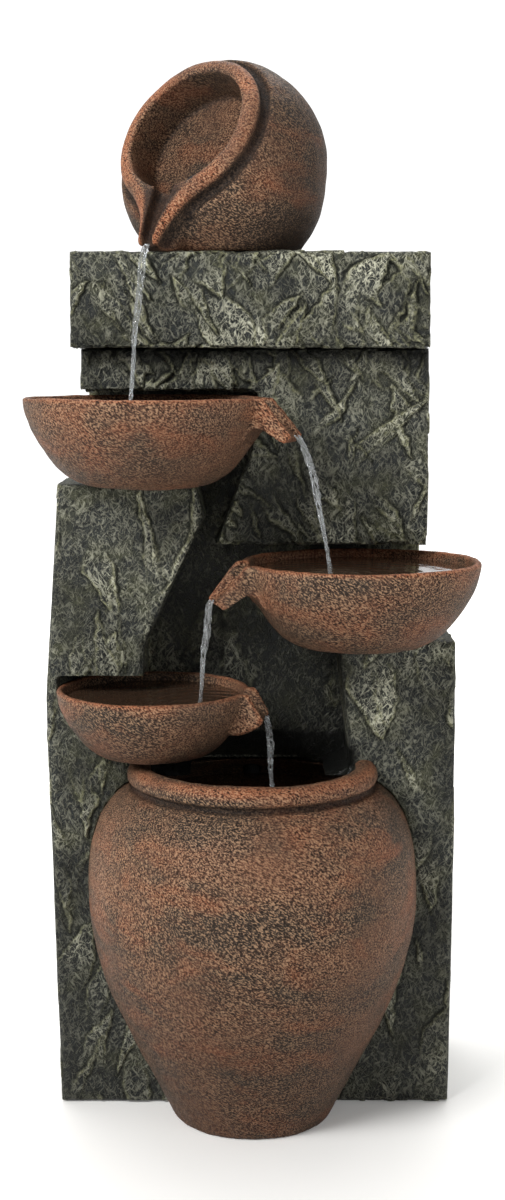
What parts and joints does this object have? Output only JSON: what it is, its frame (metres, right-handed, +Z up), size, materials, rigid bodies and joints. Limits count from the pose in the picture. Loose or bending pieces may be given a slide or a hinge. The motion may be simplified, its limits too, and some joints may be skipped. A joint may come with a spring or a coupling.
{
  "type": "tiered garden fountain",
  "caption": "Tall slate-look tower with a tilted jar that pours into stepped terracotta bowls and a large urn; a pump in the urn lifts the water back up.",
  "frame": {"origin": "on the floor, at the tower's middle, 10 mm behind its front wall", "axes": "+X to the right seen from the front, -Y to the front, +Z up"},
  "size_m": [0.418, 0.3574, 0.997],
  "materials": {
    "slate": "cast resin with a dark slate relief, dry-brushed pale on the raised veins",
    "terracotta": "cast resin, aged terracotta, pitted",
    "steel": "satin",
    "rubber": "matt",
    "ceramic_white": "smooth",
    "black_plastic": "moulded"
  },
  "bodies": {
    "tower": {"bowl_bolts": "steel", "bowl_nuts": "steel", "bowl_washers": "steel", "cable_grommet": "rubber", "cap_slab": "slate", "frame_hinge_leaves": "steel", "hinge_pins": "steel", "hose_clamps": "steel", "jar_nozzle": "black_plastic", "left_slab": "slate", "lower_bowl": "terracotta", "middle_bowl": "terracotta", "nozzle_gasket": "rubber", "nozzle_nut": "black_plastic", "pouring_jar": "terracotta", "pump_body": "black_plastic", "pump_feet": "rubber", "pump_outlet": "black_plastic", "right_slab": "slate", "riser_tube": "rubber", "rotor_shaft": "ceramic_white", "shaft_bushes": "ceramic_white", "tower_shell": "slate", "tube_clips": "black_plastic", "upper_bowl": "terracotta", "upper_slab": "slate", "urn": "terracotta", "volute_plate": "black_plastic"},
    "door": {"access_door": "slate", "door_hinge_leaves": "steel"},
    "latch": {"turn_latch": "black_plastic"},
    "impeller": {"impeller": "black_plastic"},
    "strainer": {"strainer_cover": "black_plastic"},
    "dial": {"flow_dial": "black_plastic"}
  },
  "joints": [
    {"name": "door_hinge", "type": "hinge", "parent": "tower", "child": "door", "pos_m": [-0.07075, 0.0905, 0.395], "axis": [0, 0, 1], "range_deg": [0, 110]},
    {"name": "latch_turn", "type": "hinge", "parent": "door", "child": "latch", "pos_m": [0.056, 0.085, 0.395], "axis": [0, 1, 0], "range_deg": [0, 90]},
    {"name": "impeller_spin", "type": "hinge", "parent": "tower", "child": "impeller", "pos_m": [0, -0.105, 0.0357], "axis": [0, 1, 0], "continuous": true},
    {"name": "strainer_pull", "type": "slide", "parent": "tower", "child": "strainer", "axis": [0, -1, 0], "range_m": [0, 0.015]},
    {"name": "dial_turn", "type": "hinge", "parent": "tower", "child": "dial", "pos_m": [0.027, -0.097, 0.04812], "axis": [1, 0, 0], "range_deg": [0, 90]}
  ]
}
